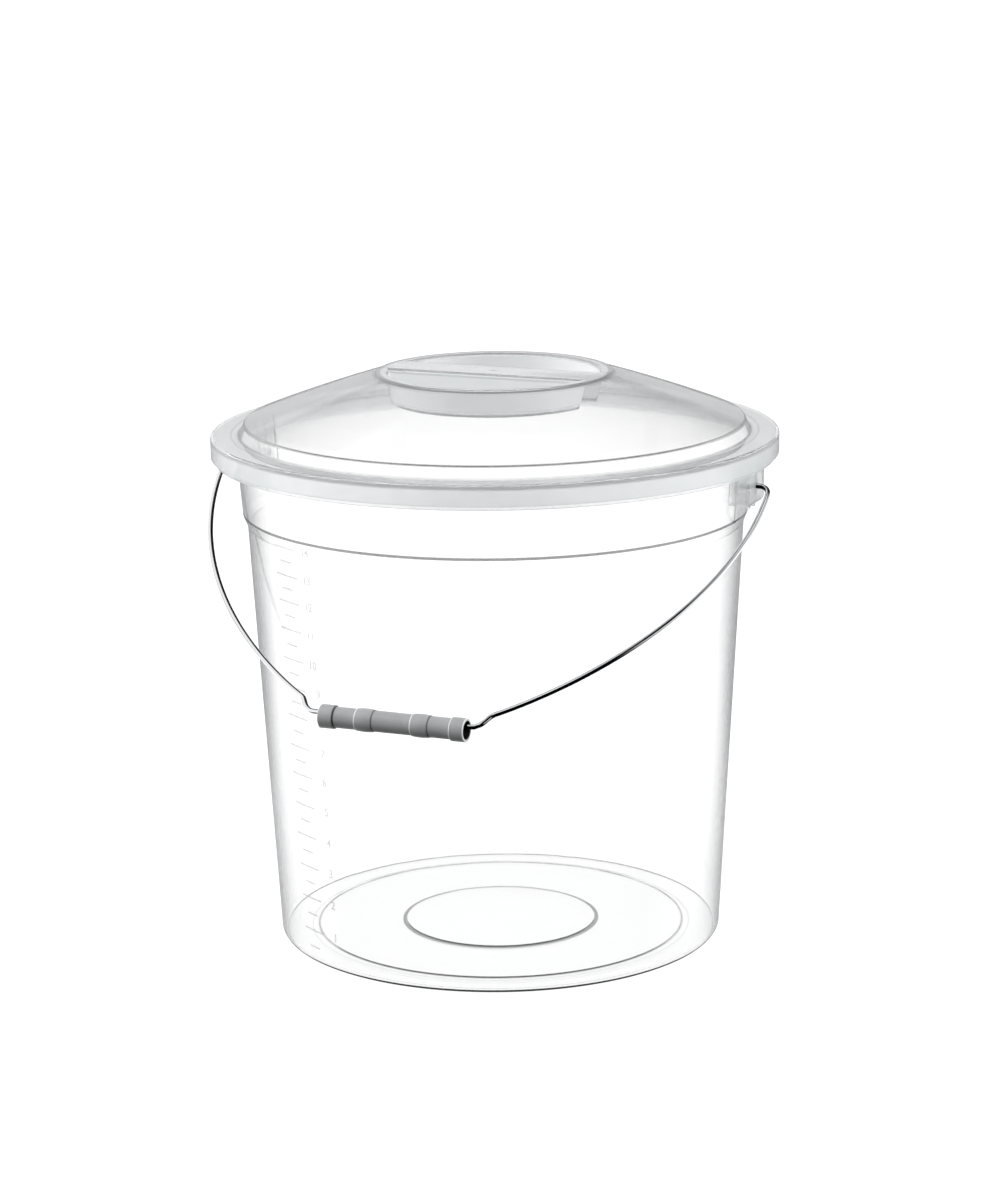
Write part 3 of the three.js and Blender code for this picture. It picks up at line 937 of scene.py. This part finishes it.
def maths(tree, operation, *values):
    """The result of one sum on numbers."""
    return add_node(tree, "ShaderNodeMath", dict(enumerate(values)), operation=operation).outputs[0]


def vector_maths(tree, operation, *values):
    """The result of one sum on places or directions: a number for a length or a reach, or else a vector."""
    made = add_node(tree, "ShaderNodeVectorMath", dict(enumerate(values)), operation=operation)
    return made.outputs["Value" if operation in ("LENGTH", "DOT_PRODUCT") else "Vector"]


def place_on_object(tree):
    return add_node(tree, "ShaderNodeTexCoord").outputs["Object"]


def split(tree, vector):
    return add_node(tree, "ShaderNodeSeparateXYZ", {"Vector": vector}).outputs


def noise(tree, where, size, detail, roughness=0.5):
    """Noise with lumps of a size in mm."""
    return add_node(tree, "ShaderNodeTexNoise", {
        "Vector": where, "Scale": 1 / (size * MM), "Detail": detail, "Roughness": roughness,
    }).outputs[0]


def spread(tree, value, low, high):
    """A value from 0 to 1, spread over the way from low to high."""
    return add_node(tree, "ShaderNodeMapRange", {"Value": value, "To Min": low, "To Max": high}).outputs[0]


def bumpy(tree, height, strength, depth):
    return add_node(tree, "ShaderNodeBump", {
        "Strength": strength, "Distance": depth * MM, "Height": height,
    }).outputs[0]


def falling(tree, value, span, first, last):
    """Goes softly from one level to another while a value crosses a span."""
    return add_node(tree, "ShaderNodeMapRange", {
        "Value": value, "From Min": span[0], "From Max": span[1], "To Min": first, "To Max": last,
    }, interpolation_type="SMOOTHSTEP").outputs[0]


def between(tree, value, low, high, soft, unit=MM):
    """1 where a value lies between two limits, with a soft start and end."""
    rise = falling(tree, value, ((low - soft) * unit, (low + soft) * unit), 0.0, 1.0)
    fall = falling(tree, value, ((high - soft) * unit, (high + soft) * unit), 1.0, 0.0)
    return maths(tree, "MULTIPLY", rise, fall)


def chosen(tree, factor, off, on):
    """A number on the way from one level to another, by a factor from 0 to 1."""
    inputs = {"Factor": factor, "A": off, "B": on}
    return add_node(tree, "ShaderNodeMix", inputs, data_type="FLOAT").outputs["Result"]


def tinted(tree, factor, off, on):
    """A colour on the way from one to another. Each is a hex colour or another node's colour."""
    first, last = (linear(c) if isinstance(c, str) else c for c in (off, on))
    inputs = {"Factor": factor, 6: first, 7: last}
    return add_node(tree, "ShaderNodeMix", inputs, data_type="RGBA").outputs[2]


def mixed(tree, share, off, on):
    """One surface, with a share of another over it."""
    return add_node(tree, "ShaderNodeMixShader", {0: share, 1: off, 2: on}).outputs[0]


def diffuse(tree, colour):
    return add_node(tree, "ShaderNodeBsdfDiffuse", {"Color": linear(colour)}).outputs[0]


def clear_film(tree, colour):
    return add_node(tree, "ShaderNodeBsdfTransparent", {"Color": linear(colour)}).outputs[0]


def finished(tree, surface):
    add_node(tree, "ShaderNodeOutputMaterial", {"Surface": surface})


def shadow_light(tree, surface, tint):
    """Lets lamps through: a ray on its way to a lamp meets a plain tint instead of the bending plastic."""
    path = add_node(tree, "ShaderNodeLightPath")
    return mixed(tree, path.outputs["Is Shadow Ray"], surface, clear_film(tree, tint))


def milk_layer(tree, tone):
    """Light scattered by the plastic: half of it comes back and half goes on."""
    through = add_node(tree, "ShaderNodeBsdfTranslucent", {"Color": linear(tone)})
    return mixed(tree, 0.5, diffuse(tree, tone), through.outputs[0])


def measures(tree, where):
    """How far a place lies from the axis, the bar's middle plane and the lid's slope, and its height."""
    parts = split(tree, where)
    radius = vector_maths(tree, "LENGTH", vector_maths(tree, "MULTIPLY", where, (1, 1, 0)))
    fall = (CREST_TOP - FLANGE_TOP - CREASE_HEIGHT) / (CREASE_RADIUS - NECK_RADIUS)
    neck = (CREST_TOP - CREST_CORNER + fall * NECK_RADIUS) * MM
    level = maths(tree, "MULTIPLY_ADD", radius, fall, parts["Z"])
    return {
        "radius": radius,
        "depth": maths(tree, "ABSOLUTE", parts["Y"]),
        "above_slope": maths(tree, "SUBTRACT", level, neck),
        "height": parts["Z"],
    }


def share_in_zones(tree, where, zones, soft):
    """The largest share of the zones that a place lies in."""
    leaving = add_node(tree, "ShaderNodeNewGeometry").outputs["Backfacing"]
    measured = measures(tree, where)
    largest = 0.0
    for measure, limits, heights, meeting_share, leaving_share in zones:
        around = between(tree, measured[measure], *limits, soft)
        along = between(tree, measured["height"], *heights, soft)
        share = chosen(tree, leaving, meeting_share, leaving_share)
        part = maths(tree, "MULTIPLY", maths(tree, "MULTIPLY", around, along), share)
        largest = maths(tree, "MAXIMUM", part, largest)
    return largest


def grazing_share(tree, facing, law):
    """How much of the light a slanting path scatters, by (factor, power, largest share) of its slant."""
    factor, power, largest = law
    rising = maths(tree, "MULTIPLY", maths(tree, "POWER", facing, power), factor)
    return maths(tree, "MINIMUM", rising, largest)


def clear_polypropylene(name, haze, edge_law, slope_law, milky_zones, slope_zones, painted_shade_zones):
    """Clear random polypropylene, injection moulded in a polished tool.

    It bends light like glass of a lower index. The eye sees it by its mirror at a low angle, by a thin
    milk, thicker where the moulding is thick, by a milk that grows along a slanting path and is painted
    grey as shade at its edges, by painted shade in dark lines at its sharp steps and outlines, and by soft
    flow ripples 14 mm long that make its reflections waver.
    """
    material, tree = fresh_material(name)
    where = place_on_object(tree)
    ripple = noise(tree, where, size=14, detail=1.5, roughness=0.4)
    glass = add_node(tree, "ShaderNodeBsdfPrincipled", {
        "Base Color": linear("#FEFEFE"), "Roughness": 0.03, "IOR": 1.49, "Transmission Weight": 1,
        "Normal": bumpy(tree, ripple, strength=0.12, depth=0.25),
    }).outputs[0]
    facing = add_node(tree, "ShaderNodeLayerWeight", {"Blend": 0.5}).outputs["Facing"]
    # Partly haze and partly painted shade: a slanting path gets a grey milk that darkens the edges and
    # slopes.
    on_slope = share_in_zones(tree, where, slope_zones, soft=0.1)
    off_slope_share = grazing_share(tree, facing, edge_law)
    edge = chosen(tree, on_slope, off_slope_share, grazing_share(tree, facing, slope_law))
    thick = share_in_zones(tree, where, milky_zones, soft=0.8)
    cloudy = spread(tree, noise(tree, where, size=40, detail=2), 0.8, 1.2)
    milk = maths(tree, "MULTIPLY", maths(tree, "ADD", thick, haze), cloudy)
    # Painted shade: a dark grey milk in lines at the steps and outlines.
    painted_shade_lines = share_in_zones(tree, where, painted_shade_zones, soft=0.15)
    surface = mixed(tree, milk, glass, milk_layer(tree, "#D8D9DA"))
    surface = mixed(tree, edge, surface, milk_layer(tree, "#929395"))
    surface = mixed(tree, painted_shade_lines, surface, milk_layer(tree, "#47484A"))
    finished(tree, shadow_light(tree, surface, "#F4F5F5"))
    return material


def raised_figures():
    """The fine matt face of moulded figures: they show as a faint grey film on the clear wall."""
    material, tree = fresh_material("fine_matt_moulded_polypropylene")
    grain = noise(tree, place_on_object(tree), size=0.8, detail=2)
    share = spread(tree, grain, 0.18, 0.32)
    finished(tree, mixed(tree, share, clear_film(tree, "#FFFFFF"), milk_layer(tree, "#8A8B8C")))
    return material


def wire_lines(tree, where, normal):
    """How much of a painted reflection, a dark line, lies at a place on the wire, by its half and the way
    its surface faces.
    """
    across = split(tree, where)["X"]
    darkest = 0.0
    for half, towards, low, high, soft in PAINTED_WIRE_REFLECTIONS:
        facing = vector_maths(tree, "DOT_PRODUCT", normal, towards)
        line = between(tree, facing, low, high, soft, unit=1)
        on_half = falling(tree, across, (-half * MM, half * MM), 0.0, 1.0)
        darkest = maths(tree, "MAXIMUM", maths(tree, "MULTIPLY", line, on_half), darkest)
    return darkest


def zinc_wire():
    """Drawn steel wire with a bright zinc plate.

    Dark lines along it are a painted reflection of the dark side of the room that such a wire mirrors, and
    a fine scuff dulls its shine.
    """
    material, tree = fresh_material("bright_zinc_drawn_steel_wire")
    coordinates = add_node(tree, "ShaderNodeTexCoord").outputs
    scuff = noise(tree, coordinates["Object"], size=1.2, detail=3)
    # Painted reflection: dark lines set by the way the surface faces.
    painted_reflection = wire_lines(tree, coordinates["Object"], coordinates["Normal"])
    steel = add_node(tree, "ShaderNodeBsdfPrincipled", {
        "Base Color": tinted(tree, painted_reflection, "#EEEFF1", "#101113"), "Metallic": 1,
        "Roughness": spread(tree, scuff, 0.04, 0.1),
        "Normal": bumpy(tree, scuff, strength=0.15, depth=0.02),
    })
    finished(tree, steel.outputs[0])
    return material


def grey_grip_plastic():
    """Grey polyethylene, moulded with a fine matt skin: soft shading and only a dull shine on the beads.

    Painted highlights lie pale on the edges of the collars and beads that face one side and round the
    grip's ends, painted shade lies dark in the corners on the other side, and the bore is painted dark as
    shade.
    """
    material, tree = fresh_material("matt_grey_moulded_polyethylene")
    where = place_on_object(tree)
    grain = noise(tree, where, size=0.6, detail=3)
    speckled = chosen(tree, 0.6, noise(tree, where, size=9, detail=2), grain)
    tone = tinted(tree, speckled, "#7E7F80", "#A0A1A2")
    off_middle = vector_maths(tree, "SUBTRACT", where, grip_middle() * MM)
    radius = vector_maths(tree, "LENGTH", vector_maths(tree, "MULTIPLY", off_middle, (0, 1, 1)))
    along = split(tree, off_middle)["X"]
    end = GRIP_LENGTH / 2
    foot = end - COLLAR_LENGTH
    near, far = GRIP_MIDDLE / 2, GRIP_MIDDLE / 2 + BEAD_LENGTH
    # Painted highlights on the steps that face the left lamp and round both ends, painted shade on the
    # steps that face away.
    painted_light_and_shade_bands = [(x, x + 0.5, "#DCDDDE") for x in (-far, near, foot)]
    painted_light_and_shade_bands += [(x, x + 0.7, "#626364") for x in (-near, far)]
    painted_light_and_shade_bands.append((-foot, -foot + 0.9, "#3C3D3E"))
    painted_light_and_shade_bands += [(end - 0.35, end + 1, "#F2F3F4"), (-end - 1, -end + 0.4, "#C8C9CA")]
    for low, high, colour in painted_light_and_shade_bands:
        tone = tinted(tree, between(tree, along, low, high, 0.15), tone, colour)
    # Painted shade: the bore is coloured near black.
    painted_bore_shade = between(tree, radius, 0, GRIP_RECESS_RADIUS + 0.1, 0.1)
    plastic = add_node(tree, "ShaderNodeBsdfPrincipled", {
        "Base Color": tinted(tree, painted_bore_shade, tone, "#202122"), "Roughness": spread(tree, grain, 0.34, 0.46),
        "IOR": 1.51, "Normal": bumpy(tree, grain, strength=0.25, depth=0.04),
    })
    finished(tree, plastic.outputs[0])
    return material


def light_path(tree):
    """The kinds of a ray, and 1 if it comes from the camera, a mirror or glass, 0 if it gathers light."""
    path = add_node(tree, "ShaderNodeLightPath").outputs
    either = maths(tree, "MAXIMUM", path["Is Camera Ray"], path["Is Glossy Ray"])
    return path, maths(tree, "MAXIMUM", either, path["Is Transmission Ray"])


def by_ray(tree, path, straight, bent, mirrored):
    """The level for a ray straight from the camera, for one bent by the plastic, or for a mirrored one."""
    level = chosen(tree, path["Is Transmission Ray"], mirrored, bent)
    return chosen(tree, path["Is Camera Ray"], level, straight)


def pale_floor():
    """White seamless paper. It is white wherever it is seen, and keeps a faint shadow of the object.

    Mirrored light meets black boards in front of the object, and paper that turns grey behind it.
    """
    material, tree = fresh_material("white_seamless_paper")
    path, seen = light_path(tree)
    where = place_on_object(tree)
    radius = vector_maths(tree, "LENGTH", where)
    ahead = vector_maths(tree, "DOT_PRODUCT", where, TO_CAMERA)
    aside = maths(tree, "ABSOLUTE", vector_maths(tree, "DOT_PRODUCT", where, CAMERA_RIGHT))
    boards_ahead = falling(tree, ahead, BOARDS_START, 0.0, 1.0)
    boards = maths(tree, "MULTIPLY", boards_ahead, falling(tree, aside, BOARDS_SIDE, 1.0, 0.0))
    open_paper = maths(tree, "SUBTRACT", 1.0, boards)
    mirrored = maths(tree, "MULTIPLY", open_paper, falling(tree, ahead, PAPER_BEHIND, 0.4, 1.0))
    level = by_ray(tree, path, 1.0, falling(tree, radius, PAPER_EDGE, 1.0, 0.4), mirrored)
    lit = by_ray(tree, path, 1.0, 1.0, mirrored)
    lying = mixed(tree, lit, diffuse(tree, "#0C0C0C"), diffuse(tree, "#7C7C7C"))
    light = add_node(tree, "ShaderNodeEmission", {
        "Color": linear("#FFFFFF"), "Strength": maths(tree, "MULTIPLY", level, PAPER_GLOW),
    })
    shown = add_node(tree, "ShaderNodeAddShader", {0: lying, 1: light.outputs[0]})
    finished(tree, mixed(tree, seen, diffuse(tree, "#646464"), shown.outputs[0]))
    return material


# Stage

def make_floor():
    deselect()
    low = -FLOOR_GAP * MM
    bpy.ops.mesh.primitive_circle_add(
        vertices=FLOOR_SIDES, radius=FLOOR_RADIUS * MM, fill_type="NGON", location=(0, 0, low),
    )
    floor = named("floor")
    floor.data.materials.append(pale_floor())


def make_world():
    """A white room to look at. Bent light meets a greyer ceiling, mirrored light meets dark flags and
    brighter parts, and plain soft light comes from above."""
    world = bpy.data.worlds.new("studio")
    bpy.context.scene.world = world
    world.use_nodes = True
    tree = world.node_tree
    tree.nodes.clear()
    path, seen = light_path(tree)
    towards = add_node(tree, "ShaderNodeTexCoord").outputs["Generated"]
    height = split(tree, towards)["Z"]
    aside = vector_maths(tree, "DOT_PRODUCT", towards, CAMERA_RIGHT)
    ahead = vector_maths(tree, "DOT_PRODUCT", towards, TO_CAMERA)
    corner = vector_maths(tree, "DOT_PRODUCT", towards, DARK_CORNER)
    low_glow = falling(tree, height, LOW_GLOW, 1.0, 0.08)
    glow = maths(tree, "ADD", low_glow, falling(tree, height, HIGH_GLOW, 0.0, 0.9))
    bright = maths(tree, "MAXIMUM", glow, falling(tree, aside, LEFT_GLOW, 0.95, 0.0))
    front_flag = falling(tree, ahead, FRONT_FLAG, 1.0, 0.02)
    flags = maths(tree, "MULTIPLY", front_flag, falling(tree, corner, CORNER_FLAG, 1.0, 0.02))
    mirrored = maths(tree, "MULTIPLY", bright, flags)
    level = by_ray(tree, path, 1.0, falling(tree, height, BENT_SKY, 1.0, 0.4), mirrored)
    gathered = falling(tree, height, SOFT_LIGHT, 0.1, 2.3)
    sky = add_node(tree, "ShaderNodeBackground", {
        "Color": linear("#FFFFFF"), "Strength": chosen(tree, seen, gathered, level),
    })
    add_node(tree, "ShaderNodeOutputWorld", {"Surface": sky.outputs[0]})


def make_lamp(name, place, size, power):
    """A soft area lamp of a width and depth in metres, turned to the bucket. It shows in no mirror."""
    data = bpy.data.lights.new(name, "AREA")
    data.shape = "RECTANGLE"
    data.size, data.size_y = size
    data.energy = power
    lamp = bpy.data.objects.new(name, data)
    bpy.context.scene.collection.objects.link(lamp)
    lamp.visible_glossy = False
    lamp.visible_transmission = False
    lamp.location = place
    lamp.rotation_euler = (Vector(LAMP_AIM) - Vector(place)).to_track_quat("-Z", "Y").to_euler()


def make_camera():
    ahead = Vector((
        math.sin(CAMERA_YAW) * math.cos(CAMERA_PITCH),
        math.cos(CAMERA_YAW) * math.cos(CAMERA_PITCH),
        -math.sin(CAMERA_PITCH),
    ))
    level = Vector((math.cos(CAMERA_YAW), -math.sin(CAMERA_YAW), 0))
    upright = level.cross(ahead)
    right = level * math.cos(CAMERA_ROLL) + upright * math.sin(CAMERA_ROLL)
    up = upright * math.cos(CAMERA_ROLL) - level * math.sin(CAMERA_ROLL)
    to_object = Matrix.Rotation(CAMERA_ROUND, 3, "Z")
    turn = Matrix([to_object @ axis for axis in (right, up, -ahead)]).transposed()
    place = to_object @ Vector((0, -CAMERA_DISTANCE, CAMERA_HEIGHT)) * MM
    data = bpy.data.cameras.new("camera")
    data.lens = CAMERA_LENS
    data.sensor_width = CAMERA_SENSOR
    camera = bpy.data.objects.new("camera", data)
    bpy.context.scene.collection.objects.link(camera)
    camera.matrix_world = Matrix.Translation(place) @ turn.to_4x4()
    bpy.context.scene.camera = camera


def dress(piece, material, body, node):
    piece.data.materials.clear()
    piece.data.materials.append(material)
    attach(piece, body)
    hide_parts(node)


make_camera()
make_world()
make_floor()
make_lamp("left_softbox", place=(-2.2, -0.7, 1.1), size=(2.2, 1.8), power=66)
make_lamp("right_softbox", place=(2.1, 1.1, 1.1), size=(2.2, 1.8), power=27)
make_lamp("top_strip", place=(-0.4, 0.9, 1.7), size=(2.4, 0.12), power=7)

bpy.context.scene.view_settings.view_transform = "Standard"
cycles = bpy.context.scene.cycles
cycles.max_bounces = 40
cycles.transmission_bounces = 36
cycles.transparent_max_bounces = 32
cycles.glossy_bounces = 12

bucket_plastic = clear_polypropylene(
    "clear_moulded_polypropylene", haze=0.003, edge_law=(0.3, 10, 1), slope_law=(1.7, 6, 0.75),
    milky_zones=BUCKET_MILK, slope_zones=BUCKET_WALL, painted_shade_zones=BUCKET_PAINTED_SHADE,
)
lid_plastic = clear_polypropylene(
    "clear_moulded_polypropylene_lid", haze=0.006, edge_law=(1.1, 8, 0.6), slope_law=(1.9, 5, 0.52),
    milky_zones=LID_MILK, slope_zones=LID_SLOPE, painted_shade_zones=LID_PAINTED_SHADE,
)
dress(make_bucket(), bucket_plastic, "bucket", "bucket")
figures = make_scale()
figures.data.materials.clear()
figures.data.materials.append(raised_figures())
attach(figures, "bucket")
dress(make_lid(), lid_plastic, "lid", "lid")
dress(make_bail(), zinc_wire(), "bail", "bail")
dress(make_grip(), grey_grip_plastic(), "grip", "grip")
